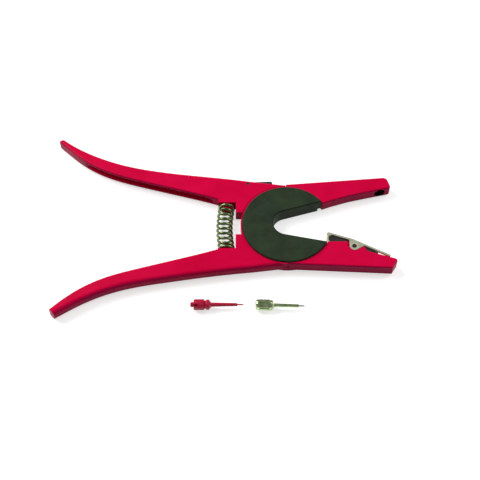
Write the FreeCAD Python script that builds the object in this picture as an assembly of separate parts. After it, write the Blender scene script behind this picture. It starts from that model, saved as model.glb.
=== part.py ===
import FreeCAD, Part
import os
from math import cos, radians, sin

# Ear tag applicator: crossed pliers turning on a notched hub.
# Frame: X runs from the hub to the jaws, Y from the lower handle to the upper one,
# Z up. The origin is the hub's turning axis, on the plane that the tool lies on.
V = FreeCAD.Vector
UP = V(0, 0, 1)

# ---- thickness, along Z ----
LEVER_THICK = 9.2
BACK_PROUD = 0.8            # how far the back plate stands out of the levers
FRONT_PROUD = 1.6           # how far the hub's front disc stands out of the levers
FLANGE_SINK = 2.0           # how deep disc and back plate sit in the levers
AXIAL_GAP = 0.1             # running gap between stacked faces
WASHER_THICK = 0.4

Z_BACK = BACK_PROUD
Z_FRONT = Z_BACK + LEVER_THICK
Z_MID = (Z_BACK + Z_FRONT) / 2
Z_DISC_TOP = Z_FRONT + FRONT_PROUD
Z_DISC = Z_FRONT - FLANGE_SINK
Z_PLATE = Z_BACK + FLANGE_SINK
Z_RING_BACK = Z_MID - WASHER_THICK / 2 - AXIAL_GAP
Z_RING_FRONT = Z_MID + WASHER_THICK / 2 + AXIAL_GAP

# ---- hub ----
DISC_R = 32.0
PLATE_R = 29.5              # the back plate
BARREL_R = 23.0
BEARING_GAP = 0.08          # radial running fit of the lever rings on the barrel
DISC_GAP = 0.3              # radial gap round disc and back plate
RIM_WALL = 1.0              # rim of a lever ring outside the disc
SWEEP_GAP = 0.3             # gap between a lever ring and the other lever's root
SEAM_GAP = 0.3              # gap between the shoulders that stop the jaws opening
DISC_EDGE = 0.7             # rounding of the disc's edge
THROAT_STEP = 0.4           # step in the disc's edge along the throat
THROAT_STEP_DEEP = 0.7
SQUEEZE = 20.0              # degrees that the upper lever turns when squeezed

RING_IN = BARREL_R + BEARING_GAP
RECESS_R = DISC_R + DISC_GAP
RIM_R = RECESS_R + RIM_WALL
SWEEP_R = RIM_R + SWEEP_GAP

# ---- throat: a round end and two straight sides that open towards the jaws ----
THROAT_X = 0.2
THROAT_Y = 0.9
THROAT_R = 10.2
THROAT_UP = 16.7            # slope of the upper side, degrees
THROAT_DOWN = -11.6         # slope of the lower side, degrees
LINER = 2.0                 # wall of the hub along the throat
LINER_GAP = 0.15
SCREW_CIRCLE = 17.5
SCREW_ANGLES = (85.0, 140.0, 215.0, 275.0)
SCREW_R = 1.5
SCREW_HEAD_R = 2.9
SCREW_HEAD = 1.6
SCREW_LONG = 8.0
SCREW_SLOT = 0.8

# ---- levers ----
INNER_ROUND = 1.2           # rounding of jaws and of the handles' inner edges
GRIP_ROUND = 2.8            # rounding of the handles' outer edges
CHANNEL_DEEP = 4.0          # channel in the inner edge of each handle
CHANNEL_WIDE = 5.4
CHANNEL_RAMP = 0.12         # share of the channel's length over which it deepens
CHANNEL_FROM = 0.25         # where the channel starts and ends, as shares of the inner edge
CHANNEL_TO = 0.98
CHANNEL_STEPS = 12
HUB_TOP = 35.6              # outer edge of the upper side where the levers meet
HUB_BOTTOM = -33.0          # the same on the lower side
UPPER_END = (-168.6, 76.4)  # a point of the blunt end, and the way that the end faces
UPPER_END_FACES = 122.0
LOWER_END = (-163.0, -70.6)
LOWER_END_FACES = 224.0

# ---- return spring between the handles ----
SPRING_X = -43.3
SPRING_R = 6.1              # outer radius
WIRE = 1.8
WIRE_SIDES = 8              # the wire's section, as a polygon inside its round
SPRING_TURNS = 10.0
SEAT_TOP = 19.2
SEAT_BOTTOM = -20.2
SEAT_HALF = 6.2
SPRING_GAP = 0.1
PEG_GAP = 0.4
PEG_LONG = 5.0
PEG_NOSE = 1.0              # height of the peg's chamfer
BLOCK_GAP = 0.4             # between the spring and the shoulder beside it

# ---- lid over the spare compartment in the upper handle's root ----
LID_HINGE = (-28.0, 36.0)
LID_PIN_R = 1.2
LID_PIN_GAP = 0.06
LID_WIDE = 6.2
LID_GAP = 0.3
LID_THICK = 2.2
LID_KNUCKLE = 2.0
LID_END = -9.7
STORE_LEFT = -24.0
STORE_RIGHT = -11.2
STORE_DEEP_LEFT = 27.5
STORE_DEEP_RIGHT = 33.6
LID_HUMP = 0.35             # how far the lid's back rises from its knuckle
LID_NOSE = 0.7              # slope at the lid's free end
KNUCKLE_ROOM = 2.7          # room that the knuckle needs to turn in

# ---- tag clip on the lower jaw ----
CLIP_PIVOT = (47.3, -18.3)
CLIP_PIN_R = 1.6
CLIP_PIN_GAP = 0.06
CLIP_THICK = 1.3
CLIP_SIDE = 0.1             # how far the clip stays inside the jaw's faces
EAR_THICK = 1.1
EAR_R = 3.3
EAR_GAP = 0.45
EAR_HIGH = 6.0              # top of the ear's left side, above the pivot
EAR_CORNER = (7.6, 0.6)     # the ear's right corner, from the pivot
EAR_SLANT = -64.0           # where the ear's round end meets its right side, degrees
EAR_SWING = 1.0             # extra room where the ear's upper corner swings out
POCKET_HIGH = 9.0           # top of the ears' pockets, above the pivot
POCKET_RIGHT = (9.5, 0.5)   # right corner of the ears' pockets, from the pivot
CLIP_THUMB = (30.0, -6.8)
CLIP_BEND = (46.4, -12.4)
CLIP_END = (72.6, -25.9)
CURL_R = 1.4
CURL_BACK = 0.4             # how far the curl's centre lies behind the thumb end
CLIP_SLOT = 5.6             # slot that lets the needle through the clip
CLIP_SLOT_FROM = 64.0
JAW_FLAT = -14.1            # level of the lower jaw under the thumb end
RUBBER_RIGHT = 43.0
RUBBER_STEP = (2.2, -0.75)  # where the rubber starts to drop away under the curl
PAD_GAP = 0.3               # between the insert and the clip
PAD_INSET = 0.3             # how far the insert stays inside the jaw's step

# ---- pins ----
SOCKET_R = 3.95
SOCKET_DEEP = 7.6
PILOT_R = 1.9
PILOT_DEEP = 1.3
SOCKET_X = 69.0
SOCKET_TILT = 14.0          # slope of the upper jaw's lower edge at the socket
NEEDLE_HOLE_R = 1.9
NEEDLE_HOLE_DEEP = 7.0      # below the lower jaw's upper edge
NEEDLE_HOLE_AT = 0.2        # height at which the needle meets the closed jaw
PIN_BODY_R = 3.8
PIN_Y = -62.6
RED_PIN_X = -68.0
STEEL_PIN_X = -23.0
STEEL_PIN_TURN = -1.9
NEEDLE_R = 0.5
NEEDLE_SUNK = 4.0
NEEDLE_OUT = 4.6
NEEDLE_POINT = 1.5
NOTCH = (2.2, 5.0, -2.6, -1.4)          # notch in the red pin: along it from its head, and across
GROOVE = (2.8, 9.4, 0.55, 0.6)          # grooves in the steel pin: start, end, half width, depth
GROOVES = 6
GROOVE_FIRST = 10.0                     # degrees


def save(shape, node):
    shape.exportStep("parts/" + node + ".step")


def box(x0, x1, y0, y1, z0, z1):
    return Part.makeBox(x1 - x0, y1 - y0, z1 - z0, V(x0, y0, z0))


def disc(radius, z0, z1, x=0.0, y=0.0):
    return Part.makeCylinder(radius, z1 - z0, V(x, y, z0))


def turned(shape, angle, x=0.0, y=0.0):
    copy = shape.copy()
    copy.rotate(V(x, y, 0), UP, angle)
    return copy


def line(a, b):
    return Part.makeLine(V(a[0], a[1], 0), V(b[0], b[1], 0))


def curve(points):
    spline = Part.BSplineCurve()
    spline.interpolate([V(x, y, 0) for x, y in points])
    return spline


def prism(edges, z0, z1):
    face = Part.Face(Part.Wire(edges))
    face.translate(V(0, 0, z0))
    return face.extrude(V(0, 0, z1 - z0))


def polygon(points, z0, z1):
    ends = points[1:] + points[:1]
    return prism([line(a, b) for a, b in zip(points, ends)], z0, z1)


def flat_edges(solid):
    """The edges round the solid's top and bottom faces."""
    box_round = solid.BoundBox
    levels = (box_round.ZMin, box_round.ZMax)
    found = []
    for edge in solid.Edges:
        low = edge.BoundBox.ZMin
        high = edge.BoundBox.ZMax
        if high - low < 0.01 and min(abs(low - level) for level in levels) < 0.01:
            found.append(edge)
    return found


def touches(edge, point):
    """Whether an edge passes the given point of the plan."""
    at = Part.Vertex(point[0], point[1], edge.BoundBox.ZMin)
    return edge.distToShape(at)[0] < 0.05


def rounded(solid, radius, points):
    """The solid with the top and bottom edges that pass these points rounded."""
    chosen = [edge for edge in flat_edges(solid) if any(touches(edge, point) for point in points)]
    return solid.makeFillet(radius, chosen)


def corner_rounded(solid, radius, point):
    """The solid with its upright edge at this point of the plan rounded."""
    chosen = []
    for edge in solid.Edges:
        middle = edge.BoundBox.Center
        upright = edge.BoundBox.ZLength > 1.0 and edge.BoundBox.XLength + edge.BoundBox.YLength < 0.01
        if upright and abs(middle.x - point[0]) + abs(middle.y - point[1]) < 0.01:
            chosen.append(edge)
    return solid.makeFillet(radius, chosen)


def throat(extra, z0, z1):
    """The throat's space, widened all round by extra."""
    radius = THROAT_R + extra
    far = 2.5 * DISC_R
    round_end = disc(radius, z0, z1, THROAT_X, THROAT_Y)
    up = radians(THROAT_UP)
    down = radians(THROAT_DOWN)
    top = (THROAT_X - radius * sin(up), THROAT_Y + radius * cos(up))
    low = (THROAT_X + radius * sin(down), THROAT_Y - radius * cos(down))
    top_far = (top[0] + far * cos(up), top[1] + far * sin(up))
    low_far = (low[0] + far * cos(down), low[1] + far * sin(down))
    wedge = polygon([(THROAT_X, THROAT_Y), top, top_far, low_far, low], z0, z1)
    return round_end.fuse(wedge).removeSplitter()


# ---- outlines of the levers, in plan ----
# The handles' edges run on past their blunt ends, where they are cut off.
UPPER_OUTER = [(-28.8, 39.5), (-64.0, 44.1), (-95.0, 48.4), (-121.6, 54.6), (-140.0, 61.7)]
UPPER_OUTER += [(-163.2, 75.2), (-169.6, 80.4)]
UPPER_INNER = [(-175.5, 80.0), (-168.0, 73.4), (-150.5, 57.8), (-131.0, 46.6), (-109.0, 39.1)]
UPPER_INNER += [(-80.0, 31.0), (SPRING_X - SEAT_HALF, 22.1)]
LOWER_OUTER = [(-25.0, -36.3), (-50.2, -39.2), (-84.0, -44.4), (-113.0, -50.1), (-138.0, -59.5)]
LOWER_OUTER += [(-160.5, -73.1), (-169.0, -78.6)]
LOWER_INNER = [(-173.2, -78.2), (-163.8, -69.0), (-149.5, -56.4), (-129.4, -44.7), (-105.0, -36.6)]
LOWER_INNER += [(-75.4, -28.3), (SPRING_X - SEAT_HALF, -20.6)]
UPPER_JAW = [(72.6, 41.9), (75.0, 40.4), (77.2, 32.6), (59.2, 28.4), (45.9, 25.1), (32.6, 20.8), (22.0, 16.6)]
LOWER_JAW = [(36.0, -34.7), (73.2, -36.5), (78.0, -29.0), (61.3, -23.7), (56.3, -21.9), (55.0, -19.0)]
LOWER_JAW.append((46.0, -14.9))
UPPER_CORNER = 10.5         # level of the shoulder beside the spring, above the hub's axis
LOWER_CORNER = -8.6         # the same on the lower handle
LOWER_BEVEL = 2.6           # bevel of the lower shoulder's corner


def handle(outer, inner, side, hub_edge, seat, corner):
    """A handle from past its end to the hub. side is 1 above the hub and -1 below it."""
    block = SPRING_X + SPRING_R + BLOCK_GAP
    corners = [inner[-1], (SPRING_X - SEAT_HALF, seat), (block, seat), (block, corner)]
    corners += [(-BARREL_R, corner), (-SEAM_GAP / 2, 0.0), (-SEAM_GAP / 2, hub_edge), outer[0]]
    edges = [curve(outer).toShape(), line(outer[-1], inner[0]), curve(inner).toShape()]
    edges += [line(a, b) for a, b in zip(corners, corners[1:])]
    solid = rounded(prism(edges, Z_BACK, Z_FRONT), GRIP_ROUND, [outer[2]])
    return rounded(solid, INNER_ROUND, [inner[2]])


def past_end(point, faces):
    """All that lies beyond a handle's blunt end."""
    block = box(0, 2 * LEVER_THICK, -2 * LEVER_THICK, 2 * LEVER_THICK, 0, Z_DISC_TOP)
    block.rotate(V(0, 0, 0), UP, faces)
    block.translate(V(point[0], point[1], 0))
    return block


def channel(inner, side):
    """The channel in a handle's inner edge, deepening from nothing at both ends."""
    edge = curve(inner)
    span = edge.LastParameter - edge.FirstParameter
    floor = []
    for share in [i / CHANNEL_STEPS for i in range(CHANNEL_STEPS + 1)]:
        at = edge.FirstParameter + span * (CHANNEL_FROM + (CHANNEL_TO - CHANNEL_FROM) * share)
        along = edge.tangent(at)[0]
        deep = CHANNEL_DEEP * min(1.0, share / CHANNEL_RAMP, (1 - share) / CHANNEL_RAMP)
        point = edge.value(at) + V(-along.y, along.x, 0) * side * deep
        floor.append((point.x, point.y))
    clear = -side * CHANNEL_DEEP
    outside = [(floor[-1][0], floor[-1][1] + clear), (floor[0][0], floor[0][1] + 3 * clear), floor[0]]
    outside = [floor[-1]] + outside
    edges = [curve(floor).toShape()] + [line(a, b) for a, b in zip(outside, outside[1:])]
    return prism(edges, Z_MID - CHANNEL_WIDE / 2, Z_MID + CHANNEL_WIDE / 2)


def jaw(outline, hub_edge, corners):
    """A jaw from the hub to its tip, with its tip's corners rounded."""
    near = SEAM_GAP / 2
    side = 1 if hub_edge > 0 else -1
    points = [(near, hub_edge)] + outline
    solid = polygon(points + [(near, side * THROAT_R)], Z_BACK, Z_FRONT)
    for radius, point in corners:
        solid = corner_rounded(solid, radius, point)
    return rounded(solid, INNER_ROUND, [middle_of(a, b) for a, b in zip(points, points[1:])])


def middle_of(a, b):
    return ((a[0] + b[0]) / 2, (a[1] + b[1]) / 2)


def ring(z0, z1, rim_z0, rim_z1):
    """A lever's half-thick ring round the barrel, with a rim outside the disc."""
    plate = disc(RECESS_R, z0, z1).fuse(disc(RIM_R, rim_z0, rim_z1).cut(disc(RECESS_R, rim_z0, rim_z1)))
    return plate.cut(disc(RING_IN, rim_z0 - 1, rim_z1 + 1))


def hub_recess():
    """The space of the disc, the back plate and the barrel in a lever."""
    front = disc(RECESS_R, Z_DISC, Z_DISC_TOP)
    back = disc(PLATE_R + DISC_GAP, 0, Z_PLATE)
    return front.fuse([back, disc(RING_IN, 0, Z_DISC_TOP)])


def peg(seat, side):
    radius = SPRING_R - WIRE - PEG_GAP
    inward = V(0, -side, 0)
    foot = V(SPRING_X, seat, Z_MID)
    straight = Part.makeCylinder(radius, PEG_LONG - PEG_NOSE, foot, inward)
    nose = Part.makeCone(radius, radius - PEG_NOSE, PEG_NOSE, foot + inward * (PEG_LONG - PEG_NOSE), inward)
    return straight.fuse(nose)


def upper_lever():
    body = handle(UPPER_OUTER, UPPER_INNER, 1, HUB_TOP, SEAT_TOP, UPPER_CORNER)
    body = body.cut([disc(SWEEP_R, Z_RING_BACK, Z_DISC_TOP), past_end(UPPER_END, UPPER_END_FACES)])
    half = ring(Z_BACK, Z_RING_BACK, Z_BACK, Z_RING_BACK)
    half = half.cut(box(-SEAM_GAP / 2, 2 * DISC_R, 0, 2 * DISC_R, 0, Z_DISC_TOP))
    notch = throat(LINER + LINER_GAP, 0, Z_DISC_TOP)
    sweep = [turned(notch, -angle) for angle in (0.0, SQUEEZE / 2, SQUEEZE)]
    half = half.cut(sweep)
    lower = jaw(LOWER_JAW + [(43.5, JAW_FLAT), (20.0, JAW_FLAT)], HUB_BOTTOM, [(1.8, LOWER_JAW[2])])
    body = body.fuse([half, lower]).cut(hub_recess())
    hub_side = disc(RECESS_R, 0, Z_DISC_TOP)
    body = body.cut([part.common(hub_side) for part in sweep])
    body = body.cut(channel(UPPER_INNER, 1)).fuse(peg(SEAT_TOP, 1))
    body = body.cut(store_space()).cut(clip_space()).cut(needle_hole())
    return body.removeSplitter()


def lower_lever():
    body = handle(LOWER_OUTER, LOWER_INNER, -1, HUB_BOTTOM, SEAT_BOTTOM, LOWER_CORNER)
    body = body.cut([disc(SWEEP_R, 0, Z_RING_FRONT), past_end(LOWER_END, LOWER_END_FACES)])
    half = ring(Z_RING_FRONT, Z_DISC, Z_RING_FRONT, Z_FRONT)
    half = half.cut(box(-SEAM_GAP / 2, 2 * DISC_R, -2 * DISC_R, 0, 0, Z_DISC_TOP))
    notch = throat(LINER + LINER_GAP, 0, Z_DISC_TOP)
    half = half.cut(notch)
    upper = jaw(UPPER_JAW, HUB_TOP, [(1.6, UPPER_JAW[0]), (1.6, UPPER_JAW[1]), (2.0, UPPER_JAW[2])])
    body = body.fuse([half, upper]).cut(hub_recess())
    body = body.cut(notch.common(disc(RECESS_R, 0, Z_DISC_TOP)))
    body = body.cut(channel(LOWER_INNER, -1)).fuse(peg(SEAT_BOTTOM, -1))
    return body.cut(pin_socket()).removeSplitter()


def socket_place():
    """A point on the socket's mouth and the direction from it into the jaw."""
    (x1, y1), (x2, y2) = UPPER_JAW[3], UPPER_JAW[2]
    level = y1 + (y2 - y1) * (SOCKET_X - x1) / (x2 - x1)
    tilt = radians(SOCKET_TILT)
    return V(SOCKET_X, level, Z_MID), V(-sin(tilt), cos(tilt), 0)


def pin_socket():
    mouth, inward = socket_place()
    start = mouth - inward * SOCKET_R
    bore = Part.makeCylinder(SOCKET_R, SOCKET_DEEP + SOCKET_R, start, inward)
    pilot = Part.makeCylinder(PILOT_R, SOCKET_DEEP + PILOT_DEEP, mouth, inward)
    return bore.fuse(pilot)


def needle_hole():
    """Blind hole for the needle when the jaws are closed; the pin's line turned back."""
    mouth, inward = socket_place()
    reach = (mouth.y - NEEDLE_HOLE_AT) / inward.y
    start = mouth - inward * (reach - SOCKET_R)
    hole = Part.makeCylinder(NEEDLE_HOLE_R, SOCKET_R + NEEDLE_HOLE_DEEP, start, inward * -1)
    return turned(hole, -SQUEEZE)


def hub_eyelet():
    flange = disc(DISC_R, Z_DISC + AXIAL_GAP, Z_DISC_TOP)
    top_edge = [edge for edge in flange.Edges if edge.BoundBox.ZMin > Z_DISC_TOP - 0.01]
    flange = flange.makeFillet(DISC_EDGE, top_edge)
    barrel = disc(BARREL_R, Z_PLATE, Z_DISC + AXIAL_GAP)
    liner = throat(LINER, Z_PLATE, Z_DISC + AXIAL_GAP).common(disc(DISC_R, Z_PLATE, Z_DISC + AXIAL_GAP))
    body = flange.fuse([barrel, liner]).removeSplitter().cut(throat(0, 0, Z_DISC_TOP + 1))
    body = body.cut(throat(THROAT_STEP, Z_DISC_TOP - THROAT_STEP_DEEP, Z_DISC_TOP + 1))
    for angle in SCREW_ANGLES:
        place = V(SCREW_CIRCLE * cos(radians(angle)), SCREW_CIRCLE * sin(radians(angle)), Z_PLATE)
        body = body.cut(Part.makeCylinder(SCREW_R, SCREW_LONG - FLANGE_SINK, place))
    return body


def back_plate():
    plate = disc(PLATE_R, 0, Z_PLATE)
    low_edge = [edge for edge in plate.Edges if edge.BoundBox.ZMax < 0.01]
    plate = plate.makeFillet(DISC_EDGE, low_edge).cut(throat(0, -1, Z_PLATE + 1))
    for screw in screw_shapes(AXIAL_GAP):
        plate = plate.cut(screw)
    return plate


def screw_shapes(extra):
    """The countersunk hub screws; extra widens them into their holes."""
    shapes = []
    for angle in SCREW_ANGLES:
        at = V(SCREW_CIRCLE * cos(radians(angle)), SCREW_CIRCLE * sin(radians(angle)), 0)
        head = Part.makeCone(SCREW_HEAD_R + extra, SCREW_R + extra, SCREW_HEAD, at)
        shank = Part.makeCylinder(SCREW_R + extra, SCREW_LONG, at)
        shapes.append(head.fuse(shank))
    return shapes


def hub_screws():
    """Four screws with a driver slot in each head."""
    finished = []
    for shape, angle in zip(screw_shapes(0), SCREW_ANGLES):
        x = SCREW_CIRCLE * cos(radians(angle))
        y = SCREW_CIRCLE * sin(radians(angle))
        slot = box(x - SCREW_HEAD_R, x + SCREW_HEAD_R, y - SCREW_SLOT / 2, y + SCREW_SLOT / 2, 0, SCREW_SLOT)
        finished.append(shape.cut(slot).removeSplitter())
    return Part.makeCompound(finished)


def hub_washer():
    low = Z_MID - WASHER_THICK / 2
    high = Z_MID + WASHER_THICK / 2
    plate = disc(DISC_R, low, high).cut(disc(BARREL_R + SEAM_GAP, low, high))
    plate = plate.cut(box(-SEAM_GAP, 2 * DISC_R, -2 * DISC_R, 2 * DISC_R, low, high))
    return plate


def return_spring():
    """A close coil whose ends lie on the two seats."""
    long = SEAT_TOP - SEAT_BOTTOM - 2 * SPRING_GAP - WIRE
    radius = SPRING_R - WIRE / 2
    helix = Part.makeHelix(long / SPRING_TURNS, long, radius)
    corners = [radians(360 * i / WIRE_SIDES) for i in range(WIRE_SIDES + 1)]
    profile = Part.makePolygon([V(radius + WIRE / 2 * cos(a), 0, WIRE / 2 * sin(a)) for a in corners])
    coil = Part.Wire(helix.Edges).makePipeShell([profile], True, True)
    coil.rotate(V(0, 0, 0), V(1, 0, 0), -90)
    coil.translate(V(SPRING_X, SEAT_BOTTOM + SPRING_GAP + WIRE / 2, Z_MID))
    return coil


def store_space():
    """The compartment in the upper handle's root, its rebate and the hinge's bore."""
    low = Z_MID - LID_WIDE / 2 - LID_GAP
    high = Z_MID + LID_WIDE / 2 + LID_GAP
    x, y = LID_HINGE
    top = HUB_TOP + 3 * LID_THICK
    points = [(x - KNUCKLE_ROOM - LID_PIN_R, top), (x - KNUCKLE_ROOM, y), (x - LID_PIN_R, y - KNUCKLE_ROOM)]
    points += [(STORE_LEFT, y - KNUCKLE_ROOM), (STORE_LEFT, STORE_DEEP_LEFT)]
    points += [(STORE_RIGHT, STORE_DEEP_RIGHT), (STORE_RIGHT, y)]
    points += [(LID_END + LID_GAP, y), (LID_END + LID_GAP, top)]
    pin = Part.makeCylinder(LID_PIN_R, LEVER_THICK, V(x, y, Z_BACK))
    return polygon(points, low, high).fuse(pin)


def store_lid():
    low = Z_MID - LID_WIDE / 2
    high = Z_MID + LID_WIDE / 2
    x, y = LID_HINGE
    points = [(x, y), (x, y + LID_KNUCKLE), (STORE_LEFT, y + LID_KNUCKLE + LID_HUMP)]
    points += [(LID_END - LID_NOSE, y + LID_THICK + LID_NOSE), (LID_END, y + LID_GAP)]
    points.append((STORE_LEFT, y + LID_GAP))
    plate = polygon(points, low, high).fuse(disc(LID_KNUCKLE, low, high, x, y))
    return plate.cut(disc(LID_PIN_R + LID_PIN_GAP, low - 1, high + 1, x, y)).removeSplitter()


def lid_hinge_pin():
    return disc(LID_PIN_R, Z_BACK, Z_FRONT, *LID_HINGE)


def lower_side(a, b, thick):
    """The line from a to b, moved down by a thickness measured across it."""
    along = V(b[0] - a[0], b[1] - a[1], 0)
    along.normalize()
    return (a[0] + along.y * thick, a[1] - along.x * thick), (b[0] + along.y * thick, b[1] - along.x * thick)


def clip_underside(thick):
    """Start, bend and end of the clip's plate on its underside."""
    thumb, _ = lower_side(CLIP_THUMB, CLIP_BEND, thick)
    bend, end = lower_side(CLIP_BEND, CLIP_END, thick)
    return thumb, bend, end


def clip_ear(z0, z1):
    """An ear: round about the pivot and widening to the plate."""
    x, y = CLIP_PIVOT
    slant = radians(EAR_SLANT)
    low_right = (x + EAR_R * cos(slant), y + EAR_R * sin(slant))
    points = [(x - EAR_R, y), (x - EAR_R, y + EAR_HIGH), (x + EAR_CORNER[0], y + EAR_CORNER[1]), low_right]
    start, bend, end = clip_underside(CLIP_THICK / 2)
    below = polygon([start, bend, end, (end[0], HUB_BOTTOM), (start[0], HUB_BOTTOM)], z0, z1)
    return polygon(points, z0, z1).fuse(disc(EAR_R, z0, z1, x, y)).common(below)


def clip_plate():
    z0 = Z_BACK + CLIP_SIDE
    z1 = Z_FRONT - CLIP_SIDE
    thumb, bend, end = clip_underside(CLIP_THICK)
    plate = polygon([CLIP_THUMB, CLIP_BEND, CLIP_END, end, bend, thumb], z0, z1)
    curl = disc(CURL_R, z0, z1, CLIP_THUMB[0] - CURL_BACK, CLIP_THUMB[1] - CURL_R)
    plate = plate.fuse([curl, clip_ear(z0, z0 + EAR_THICK), clip_ear(z1 - EAR_THICK, z1)])
    x, y = CLIP_PIVOT
    plate = plate.cut(disc(CLIP_PIN_R + CLIP_PIN_GAP, 0, Z_DISC_TOP, x, y))
    slot = box(CLIP_SLOT_FROM, 2 * CLIP_END[0], HUB_BOTTOM, 0, Z_MID - CLIP_SLOT / 2, Z_MID + CLIP_SLOT / 2)
    return plate.cut(slot).removeSplitter()


def clip_space():
    """What the clip needs in the lower jaw: a pocket for each ear and the pivot's bore."""
    x, y = CLIP_PIVOT
    depth = CLIP_SIDE + EAR_THICK + AXIAL_GAP
    back = ear_pocket(Z_BACK - 1, Z_BACK + depth)
    front = ear_pocket(Z_FRONT - depth, Z_FRONT + 1)
    return back.fuse([front, disc(CLIP_PIN_R, Z_BACK, Z_FRONT, x, y)])


def ear_pocket(z0, z1):
    """Room for an ear in the jaw's side, open at the top, where the ear rocks."""
    x, y = CLIP_PIVOT
    radius = EAR_R + EAR_GAP
    slant = radians(EAR_SLANT)
    low_right = (x + radius * cos(slant), y + radius * sin(slant))
    left = x - radius - EAR_SWING
    right = x + POCKET_RIGHT[0]
    points = [(left, y), (left, y + POCKET_HIGH), (right, y + POCKET_HIGH), (right, y + POCKET_RIGHT[1])]
    points += [low_right, (x, y - radius)]
    return polygon(points, z0, z1).fuse(disc(radius, z0, z1, x, y))


def clip_pivot_pin():
    return disc(CLIP_PIN_R, Z_BACK + CLIP_SIDE, Z_FRONT, *CLIP_PIVOT)


def clip_rubber():
    """The rubber block that holds the clip's thumb end up."""
    thumb, bend, _ = clip_underside(CLIP_THICK + AXIAL_GAP)
    share = (RUBBER_RIGHT - thumb[0]) / (bend[0] - thumb[0])
    top_right = (RUBBER_RIGHT, thumb[1] + (bend[1] - thumb[1]) * share)
    points = [(CLIP_THUMB[0], JAW_FLAT), (RUBBER_RIGHT, JAW_FLAT), top_right]
    points.append((thumb[0] + RUBBER_STEP[0], thumb[1] + RUBBER_STEP[1]))
    points.append((CLIP_THUMB[0] + CURL_BACK, CLIP_THUMB[1] - 2 * CURL_R - CURL_BACK))
    return polygon(points, Z_BACK + EAR_THICK, Z_FRONT - EAR_THICK)


def tag_pad():
    """The insert on the jaw's step, under the clip's outer arm."""
    _, bend, end = clip_underside(CLIP_THICK + PAD_GAP)
    slope = (end[1] - bend[1]) / (end[0] - bend[0])
    (x3, y3), (x4, y4), (x5, y5) = LOWER_JAW[3], LOWER_JAW[4], LOWER_JAW[5]
    left = x5 + PAD_INSET
    right = x3 - PAD_INSET
    points = [(x4, y4), (x3, y3), (right, bend[1] + slope * (right - bend[0]))]
    points += [(left, bend[1] + slope * (left - bend[0])), (x5, y5)]
    return polygon(points, Z_BACK + EAR_THICK, Z_FRONT - EAR_THICK)


def turned_pin(sections, x, turn):
    """A pin lying along X: (length, start radius, end radius) from its head to its end."""
    points = [V(0, 0, 0)]
    at = 0.0
    for length, start, end in sections:
        points.append(V(at, start, 0))
        at += length
        points.append(V(at, end, 0))
    points.append(V(at, 0, 0))
    distinct = [points[0]]
    for point in points[1:]:
        if point.distanceToPoint(distinct[-1]) > 1e-6:
            distinct.append(point)
    face = Part.Face(Part.makePolygon(distinct + [distinct[0]]))
    solid = face.revolve(V(0, 0, 0), V(1, 0, 0), 360)
    solid = solid if solid.Volume > 0 else solid.reversed()
    solid.translate(V(x, PIN_Y, PIN_BODY_R))
    return turned(solid, turn, x, PIN_Y)


RED_PIN = [(0.5, 1.3, 1.75), (1.8, 1.75, 1.75), (0.5, 3.3, PIN_BODY_R), (6.5, PIN_BODY_R, PIN_BODY_R)]
RED_PIN += [(0.6, PIN_BODY_R, 2.9), (0.9, 2.9, 2.9), (0.5, 3.3, 3.6), (1.7, 3.6, 3.6), (1.4, 3.3, 1.6)]
RED_PIN.append((18.0, 1.5, 1.1))
STEEL_PIN = [(0.6, 2.9, 3.5), (0.7, 3.5, PIN_BODY_R), (8.6, PIN_BODY_R, PIN_BODY_R), (0.5, 3.5, 3.5)]
STEEL_PIN += [(1.4, 3.7, 3.4), (1.2, 3.0, 1.4), (16.8, 1.35, 1.15)]


def pin_length(sections):
    return sum(length for length, start, end in sections)


def needle(sections, x, turn):
    """The thin needle pressed into the pin's end."""
    start = x + pin_length(sections) - NEEDLE_SUNK
    straight = NEEDLE_SUNK + NEEDLE_OUT - NEEDLE_POINT
    along = V(1, 0, 0)
    shank = Part.makeCylinder(NEEDLE_R, straight, V(start, PIN_Y, PIN_BODY_R), along)
    tip = Part.makeCone(NEEDLE_R, NEEDLE_R / 4, NEEDLE_POINT, V(start + straight, PIN_Y, PIN_BODY_R), along)
    return turned(shank.fuse(tip).removeSplitter(), turn, x, PIN_Y)


def red_pin():
    start, end, low, high = NOTCH
    notch = box(RED_PIN_X + start, RED_PIN_X + end, PIN_Y + low, PIN_Y + high, PIN_BODY_R, 2 * PIN_BODY_R)
    return turned_pin(RED_PIN, RED_PIN_X, 0.0).cut([notch, needle(RED_PIN, RED_PIN_X, 0.0)])


def steel_pin():
    solid = turned_pin(STEEL_PIN, STEEL_PIN_X, STEEL_PIN_TURN)
    start, end, half, deep = GROOVE
    x = STEEL_PIN_X
    for i in range(GROOVES):
        top = 2 * PIN_BODY_R
        groove = box(x + start, x + end, PIN_Y - half, PIN_Y + half, top - deep, top + deep)
        groove.rotate(V(x, PIN_Y, PIN_BODY_R), V(1, 0, 0), GROOVE_FIRST + i * 360 / GROOVES)
        solid = solid.cut(turned(groove, STEEL_PIN_TURN, x, PIN_Y))
    return solid.cut(needle(STEEL_PIN, STEEL_PIN_X, STEEL_PIN_TURN))


def main():
    os.makedirs("parts", exist_ok=True)
    save(upper_lever(), "upper_lever")
    save(lower_lever(), "lower_lever")
    save(hub_eyelet(), "hub_eyelet")
    save(back_plate(), "hub_back_plate")
    save(hub_washer(), "hub_washer")
    save(hub_screws(), "hub_screws")
    save(return_spring(), "return_spring")
    save(store_lid(), "store_lid")
    save(lid_hinge_pin(), "lid_hinge_pin")
    save(clip_plate(), "tag_clip")
    save(clip_pivot_pin(), "clip_pivot_pin")
    save(clip_rubber(), "clip_rubber")
    save(tag_pad(), "tag_pad")
    save(red_pin(), "red_pin")
    save(needle(RED_PIN, RED_PIN_X, 0.0), "red_pin_needle")
    save(steel_pin(), "steel_pin")
    save(needle(STEEL_PIN, STEEL_PIN_X, STEEL_PIN_TURN), "steel_pin_needle")


main()
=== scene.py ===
from math import cos, pi, sin

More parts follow.
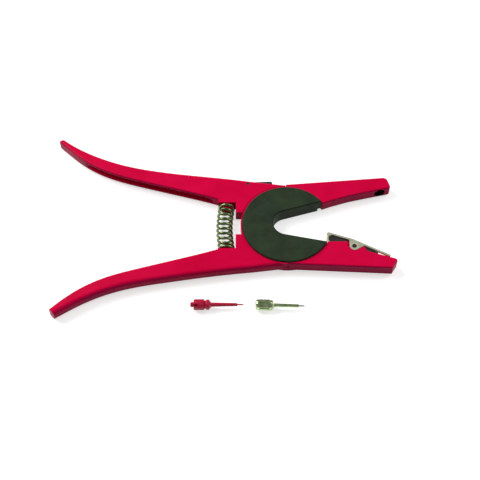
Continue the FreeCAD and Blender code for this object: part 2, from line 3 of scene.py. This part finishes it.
import bpy
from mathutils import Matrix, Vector


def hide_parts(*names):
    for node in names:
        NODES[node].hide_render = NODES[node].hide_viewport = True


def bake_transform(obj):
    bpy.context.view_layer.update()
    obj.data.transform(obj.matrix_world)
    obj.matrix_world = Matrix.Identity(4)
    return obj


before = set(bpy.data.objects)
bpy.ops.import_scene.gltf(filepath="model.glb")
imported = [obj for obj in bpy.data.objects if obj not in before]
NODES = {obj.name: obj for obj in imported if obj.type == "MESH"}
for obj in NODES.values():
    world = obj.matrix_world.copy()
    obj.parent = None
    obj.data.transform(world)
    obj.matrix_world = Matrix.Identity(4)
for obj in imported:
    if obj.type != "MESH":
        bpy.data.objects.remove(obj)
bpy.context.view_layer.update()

# ---- camera: the tool lies flat and is seen from its lower side, well above the floor ----
CAMERA_AT = Vector((-0.03373, -0.42099, 0.63752))
CAMERA_AIM = Vector((-0.03373, -0.01088, 0.0060))
LENS = 79.0
SENSOR = 36.0

# ---- light ----
KEY_AT = Vector((-1.0, 0.55, 1.0))
KEY_SIZE = 0.9
KEY_WATTS = 19.5
FILL_AT = Vector((1.1, 0.45, 1.0))
FILL_SIZE = 0.9
FILL_WATTS = 9.5
SKY = 0.22
FLOOR_LEVEL = -0.0002
FLOOR_HALF = 4.0
FLOOR_LIFT = 0.62           # what the camera and reflections see on top of the floor's own light

# ---- places on the part, in metres ----
SPRING_AXIS = (-0.0433, 0.0054)         # x and z
SPRING_ENDS = (-0.0201, 0.0191)         # y
SPRING_R = 0.0061
WIRE_R = 0.00092
SPRING_TURNS = 10.0
SPRING_BOW = 0.0016                     # how far the middle stands towards the handles' ends
CLOSED_TURNS = 0.9                      # close turns at each end
STEPS_A_TURN = 40
WIRE_SIDES = 12
PIN_SOCKET = (0.069, 0.03069, 0.0054)
PIN_SOCKET_INWARD = (-0.241922, 0.970296, 0.0)
PIN_SOCKET_R = 0.00395


def place(obj, at, aim):
    obj.location = at
    obj.rotation_mode = "QUATERNION"
    obj.rotation_quaternion = (aim - at).to_track_quat("-Z", "Y")


def make_camera():
    data = bpy.data.cameras.new("camera")
    data.lens = LENS
    data.sensor_width = SENSOR
    camera = bpy.data.objects.new("camera", data)
    bpy.context.scene.collection.objects.link(camera)
    place(camera, CAMERA_AT, CAMERA_AIM)
    bpy.context.scene.camera = camera
    bpy.context.scene.view_settings.view_transform = "Standard"


def soft_light(name, at, size, watts):
    data = bpy.data.lights.new(name, "AREA")
    data.shape = "SQUARE"
    data.size = size
    data.energy = watts
    light = bpy.data.objects.new(name, data)
    bpy.context.scene.collection.objects.link(light)
    place(light, at, Vector((0, 0, 0)))


# ---- node helpers ----
class Shader:
    """A material's node tree, with the few node groups that the finishes share."""

    def __init__(self, name, **sockets):
        self.material = bpy.data.materials.new(name)
        self.material.use_nodes = True
        self.tree = self.material.node_tree
        self.bsdf = self.tree.nodes["Principled BSDF"]
        for socket, value in sockets.items():
            self.bsdf.inputs[socket.replace("_", " ")].default_value = value
        self.coordinates = self.node("ShaderNodeTexCoord").outputs["Object"]

    def node(self, kind, **settings):
        made = self.tree.nodes.new(kind)
        for setting, value in settings.items():
            setattr(made, setting, value)
        return made

    def link(self, out, into):
        self.tree.links.new(out, into)

    def noise(self, size, detail=3.0, rough=0.55, stretch=(1.0, 1.0, 1.0), turn=0.0):
        """Noise whose lumps are about size metres across; stretch lengthens them along X, Y or Z."""
        mapping = self.node("ShaderNodeMapping")
        mapping.inputs["Rotation"].default_value = (0.0, 0.0, turn)
        mapping.inputs["Scale"].default_value = tuple(1.0 / (size * s) for s in stretch)
        self.link(self.coordinates, mapping.inputs["Vector"])
        noise = self.node("ShaderNodeTexNoise")
        noise.inputs["Scale"].default_value = 1.0
        noise.inputs["Detail"].default_value = detail
        noise.inputs["Roughness"].default_value = rough
        self.link(mapping.outputs["Vector"], noise.inputs["Vector"])
        return noise.outputs["Fac"]

    def span(self, value, low, high, to_low, to_high):
        """Maps value from low..high to to_low..to_high and holds it there."""
        remap = self.node("ShaderNodeMapRange")
        ends = {"From Min": low, "From Max": high, "To Min": to_low, "To Max": to_high}
        for socket, number in ends.items():
            remap.inputs[socket].default_value = number
        self.link(value, remap.inputs["Value"])
        return remap.outputs["Result"]

    def mix(self, factor, a, b):
        """Mixes two colours, each a tuple or another node's colour."""
        mix = self.node("ShaderNodeMix", data_type="RGBA")
        self.link(factor, mix.inputs["Factor"])
        for name, colour in (("A", a), ("B", b)):
            socket = next(s for s in mix.inputs if s.name == name and s.type == "RGBA")
            if isinstance(colour, tuple):
                socket.default_value = colour
            else:
                self.link(colour, socket)
        return next(s for s in mix.outputs if s.type == "RGBA")

    def math(self, operation, a, b):
        made = self.node("ShaderNodeMath", operation=operation)
        for socket, value in zip(made.inputs, (a, b)):
            if isinstance(value, (int, float)):
                socket.default_value = value
            else:
                self.link(value, socket)
        return made.outputs["Value"]

    def bump(self, height, depth):
        """Bumps of the given depth in metres for heights from 0 to 1."""
        bump = self.node("ShaderNodeBump")
        bump.inputs["Strength"].default_value = 1.0
        bump.inputs["Distance"].default_value = depth
        self.link(height, bump.inputs["Height"])
        self.link(bump.outputs["Normal"], self.bsdf.inputs["Normal"])

    def dot(self, direction, origin=(0.0, 0.0, 0.0), vector=None):
        """How far a point lies from origin along a direction."""
        away = self.node("ShaderNodeVectorMath", operation="SUBTRACT")
        self.link(vector or self.coordinates, away.inputs[0])
        away.inputs[1].default_value = origin
        product = self.node("ShaderNodeVectorMath", operation="DOT_PRODUCT")
        self.link(away.outputs["Vector"], product.inputs[0])
        product.inputs[1].default_value = direction
        return product.outputs["Value"]

    def inside_tube(self, origin, direction, radius):
        """1 within a tube that starts at origin and runs along direction, else 0."""
        distance = self.node("ShaderNodeVectorMath", operation="DISTANCE")
        self.link(self.coordinates, distance.inputs[0])
        distance.inputs[1].default_value = origin
        along = self.dot(direction, origin)
        far_squared = self.math("POWER", distance.outputs["Value"], 2.0)
        across_squared = self.math("SUBTRACT", far_squared, self.math("POWER", along, 2.0))
        near = self.math("LESS_THAN", across_squared, radius * radius)
        return self.math("MULTIPLY", near, self.span(along, 0.0001, 0.0006, 0.0, 1.0))

    def facing(self, direction, low, high):
        """0 where the surface looks less than low along a direction, 1 where more than high."""
        normal = self.node("ShaderNodeNewGeometry").outputs["True Normal"]
        return self.span(self.dot(direction, vector=normal), low, high, 0.0, 1.0)

    def colour(self, out):
        self.link(out, self.bsdf.inputs["Base Color"])

    def roughness(self, out):
        self.link(out, self.bsdf.inputs["Roughness"])


def rgb(red, green, blue):
    """A colour given as 0 to 255 on screen, in the linear values that shaders take."""
    linear = []
    for level in (red / 255, green / 255, blue / 255):
        linear.append(level / 12.92 if level <= 10 / 255 else ((level + 0.055) / 1.055) ** 2.4)
    return (*linear, 1.0)


def red_enamel():
    """Enamel on a die casting: cloudy at large scale, orange peel, faint handling scratches.

    The sides that look along -Y carry painted shade, and the inside of the pin's socket carries painted
    shade too.
    """
    s = Shader("red_enamel", Specular_IOR_Level=0.06)
    cloud = s.span(s.noise(0.022, 3.0), 0.3, 0.7, 0.0, 1.0)
    speck = s.span(s.noise(0.0009, 2.0), 0.62, 0.75, 0.0, 1.0)
    base = s.mix(cloud, rgb(203, 0, 56), rgb(215, 2, 65))
    base = s.mix(s.math("MULTIPLY", speck, 0.3), base, rgb(150, 0, 48))
    # painted shade: sides that look along -Y are darkened towards a purple red, standing in for the shade
    # that falls on them
    side = s.math("MULTIPLY", s.facing((0.0, -1.0, 0.0), 0.3, 0.8), s.span(cloud, 0.0, 1.0, 0.6, 0.9))
    base = s.mix(side, base, rgb(150, 4, 66))
    # painted shade: the inside of the pin's socket is coloured near black, standing in for the shade in the
    # bore
    socket = s.inside_tube(PIN_SOCKET, PIN_SOCKET_INWARD, PIN_SOCKET_R * 1.02)
    s.colour(s.mix(socket, base, rgb(16, 4, 8)))
    scratch = s.noise(0.0006, 4.0, 0.7, (14.0, 1.0, 1.0), 0.3)
    s.roughness(s.span(s.math("ADD", s.math("MULTIPLY", cloud, 0.3), scratch), 0.3, 1.1, 0.26, 0.42))
    s.bump(s.math("ADD", s.noise(0.0016, 2.0), s.math("MULTIPLY", scratch, 0.25)), 0.00003)
    return s.material


def hub_black():
    """Moulded greenish-black plastic with a fine spark-eroded grain."""
    s = Shader("hub_black", Specular_IOR_Level=0.12)
    cloud = s.span(s.noise(0.012, 3.0), 0.3, 0.7, 0.0, 1.0)
    grain = s.noise(0.00045, 3.0, 0.6)
    base = s.mix(cloud, rgb(33, 46, 34), rgb(47, 61, 40))
    s.colour(s.mix(s.span(grain, 0.55, 0.75, 0.0, 0.5), base, rgb(60, 74, 54)))
    s.roughness(s.span(grain, 0.3, 0.7, 0.42, 0.6))
    s.bump(grain, 0.00004)
    return s.material


def black_plastic(name, dark, light, low_rough, high_rough, grain_size):
    """Moulded black plastic or rubber, with grain, lighter mottling and uneven gloss."""
    s = Shader(name)
    cloud = s.span(s.noise(0.004, 3.0), 0.35, 0.65, 0.0, 1.0)
    grain = s.noise(grain_size, 3.0, 0.6)
    s.colour(s.mix(s.math("MULTIPLY", cloud, grain), dark, light))
    s.roughness(s.span(grain, 0.3, 0.7, low_rough, high_rough))
    s.bump(grain, 0.00005)
    return s.material


def steel(name, dark, light, rough, grain_size, stretch, turn=0.0, metallic=0.9, depth=0.00001):
    """Drawn or brushed steel: streaks along its grain and patches of a thin oil film."""
    s = Shader(name, Metallic=metallic)
    streak = s.noise(grain_size, 4.0, 0.65, stretch, turn)
    film = s.span(s.noise(0.005, 3.0), 0.35, 0.65, 0.0, 1.0)
    sheen = s.math("ADD", streak, s.math("MULTIPLY", film, 0.4))
    s.colour(s.mix(s.span(sheen, 0.35, 1.0, 0.0, 1.0), dark, light))
    s.roughness(s.span(streak, 0.3, 0.7, rough * 0.75, rough * 1.3))
    s.bump(streak, depth)
    return s.material


def red_plastic():
    """Translucent-looking red moulding with flow marks and a soft gloss."""
    s = Shader("red_plastic", Subsurface_Weight=0.08, Subsurface_Scale=0.001)
    flow = s.span(s.noise(0.003, 3.0, 0.5, (2.0, 1.0, 1.0)), 0.3, 0.7, 0.0, 1.0)
    s.colour(s.mix(flow, rgb(172, 6, 48), rgb(200, 14, 62)))
    s.roughness(s.span(flow, 0.0, 1.0, 0.25, 0.42))
    s.bump(s.noise(0.0007, 2.0), 0.00003)
    return s.material


def floor_material():
    """White paper: a plain pale floor that keeps the object's shadow."""
    s = Shader("floor", Roughness=0.9, Specular_IOR_Level=0.1)
    s.colour(s.mix(s.noise(0.4, 2.0), rgb(206, 206, 206), rgb(210, 210, 210)))
    lift = s.node("ShaderNodeEmission")
    lift.inputs["Color"].default_value = (1.0, 1.0, 1.0, 1.0)
    seen = s.node("ShaderNodeLightPath")
    rays = s.math("MAXIMUM", seen.outputs["Is Camera Ray"], seen.outputs["Is Glossy Ray"])
    rays = s.math("MAXIMUM", rays, seen.outputs["Is Transmission Ray"])
    s.link(s.math("MULTIPLY", rays, FLOOR_LIFT), lift.inputs["Strength"])
    add = s.node("ShaderNodeAddShader")
    s.link(s.bsdf.outputs["BSDF"], add.inputs[0])
    s.link(lift.outputs["Emission"], add.inputs[1])
    s.link(add.outputs["Shader"], s.tree.nodes["Material Output"].inputs["Surface"])
    return s.material


def make_spring(material):
    """The return spring: close end coils, a slight bow, and each end on the body it presses."""
    x0, z0 = SPRING_AXIS
    low, high = SPRING_ENDS
    low += WIRE_R
    high -= WIRE_R
    sides = WIRE_SIDES
    count = int(SPRING_TURNS * STEPS_A_TURN)
    radius = SPRING_R - WIRE_R
    open_turns = SPRING_TURNS - 2 * CLOSED_TURNS
    pitch = (high - low - 4 * WIRE_R * CLOSED_TURNS) / open_turns
    points = []
    for i in range(count + 1):
        turn = i / STEPS_A_TURN
        level = low + 2 * WIRE_R * min(turn, CLOSED_TURNS)
        level += pitch * min(max(turn - CLOSED_TURNS, 0.0), open_turns)
        level += 2 * WIRE_R * max(turn - CLOSED_TURNS - open_turns, 0.0)
        share = (level - low) / (high - low)
        bow = SPRING_BOW * sin(pi * share)
        x = x0 - bow + radius * cos(2 * pi * turn)
        z = z0 + radius * sin(2 * pi * turn)
        points.append(Vector((x, level, z)))
    verts = []
    faces = []
    for i, point in enumerate(points):
        along = (points[min(i + 1, count)] - points[max(i - 1, 0)]).normalized()
        out = Vector((point.x - x0, 0.0, point.z - z0)).normalized()
        out = (out - along * out.dot(along)).normalized()
        side = along.cross(out)
        for k in range(sides):
            angle = 2 * pi * k / sides
            verts.append(point + out * WIRE_R * cos(angle) + side * WIRE_R * sin(angle))
    for i in range(count):
        for k in range(sides):
            a = i * sides + k
            b = i * sides + (k + 1) % sides
            faces.append((a, b, b + sides, a + sides))
    faces.append(tuple(reversed(range(sides))))
    faces.append(tuple(range(count * sides, (count + 1) * sides)))
    mesh = bpy.data.meshes.new("coil")
    mesh.from_pydata(verts, [], faces)
    mesh.shade_smooth()
    coil = bpy.data.objects.new("coil", mesh)
    bpy.context.scene.collection.objects.link(coil)
    mesh.materials.append(material)
    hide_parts("return_spring")
    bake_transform(coil)


def make_floor():
    mesh = bpy.data.meshes.new("floor")
    h = FLOOR_HALF
    corners = [(-h, -h, FLOOR_LEVEL), (h, -h, FLOOR_LEVEL), (h, h, FLOOR_LEVEL), (-h, h, FLOOR_LEVEL)]
    mesh.from_pydata(corners, [], [(0, 1, 2, 3)])
    floor = bpy.data.objects.new("floor", mesh)
    bpy.context.scene.collection.objects.link(floor)
    mesh.materials.append(floor_material())


def make_world():
    world = bpy.data.worlds.new("studio")
    bpy.context.scene.world = world
    world.use_nodes = True
    tree = world.node_tree
    background = tree.nodes["Background"]
    background.inputs["Color"].default_value = (1.0, 1.0, 1.0, 1.0)
    seen = tree.nodes.new("ShaderNodeLightPath")
    level = tree.nodes.new("ShaderNodeMapRange")
    level.inputs["To Min"].default_value = SKY
    level.inputs["To Max"].default_value = 1.0
    tree.links.new(seen.outputs["Is Camera Ray"], level.inputs["Value"])
    tree.links.new(level.outputs["Result"], background.inputs["Strength"])


def finish_node(node, material):
    """Gives a CAD node its detailed material."""
    slots = NODES[node].data.materials
    slots.clear()
    slots.append(material)


make_camera()
make_world()
make_floor()
soft_light("key", KEY_AT, KEY_SIZE, KEY_WATTS)
soft_light("fill", FILL_AT, FILL_SIZE, FILL_WATTS)

enamel = red_enamel()
hub = hub_black()
plastic = black_plastic("black_plastic", rgb(14, 16, 14), rgb(44, 50, 42), 0.35, 0.5, 0.0006)
rubber = black_plastic("black_rubber", rgb(10, 10, 10), rgb(40, 42, 38), 0.55, 0.8, 0.0008)
washer = black_plastic("washer_plastic", rgb(190, 190, 180), rgb(214, 214, 205), 0.4, 0.6, 0.0008)
spring = steel("spring_steel", rgb(70, 86, 50), rgb(140, 160, 108), 0.28, 0.0005, (1.0, 5.0, 1.0))
clip = steel("clip_steel", rgb(204, 208, 172), rgb(240, 243, 216), 0.3, 0.0003, (20.0, 1.0, 1.0), -0.45, 0.7)
pin_metal = steel("pin_steel", rgb(132, 158, 100), rgb(212, 232, 184), 0.22, 0.0003, (1.0, 8.0, 8.0))
bright = steel("needle_steel", rgb(120, 126, 112), rgb(200, 204, 190), 0.2, 0.0003, (8.0, 1.0, 1.0))
screw = steel("screw_steel", rgb(110, 112, 108), rgb(170, 172, 166), 0.35, 0.0004, (1.0, 1.0, 6.0))
red_moulding = red_plastic()

FINISHES = {
    "upper_lever": enamel,
    "lower_lever": enamel,
    "hub_eyelet": hub,
    "hub_back_plate": hub,
    "hub_washer": washer,
    "hub_screws": screw,
    "return_spring": spring,
    "store_lid": plastic,
    "lid_hinge_pin": plastic,
    "tag_clip": clip,
    "clip_pivot_pin": plastic,
    "clip_rubber": rubber,
    "tag_pad": rubber,
    "red_pin": red_moulding,
    "red_pin_needle": red_moulding,
    "steel_pin": pin_metal,
    "steel_pin_needle": bright,
}
for name, material in FINISHES.items():
    finish_node(name, material)

make_spring(spring)
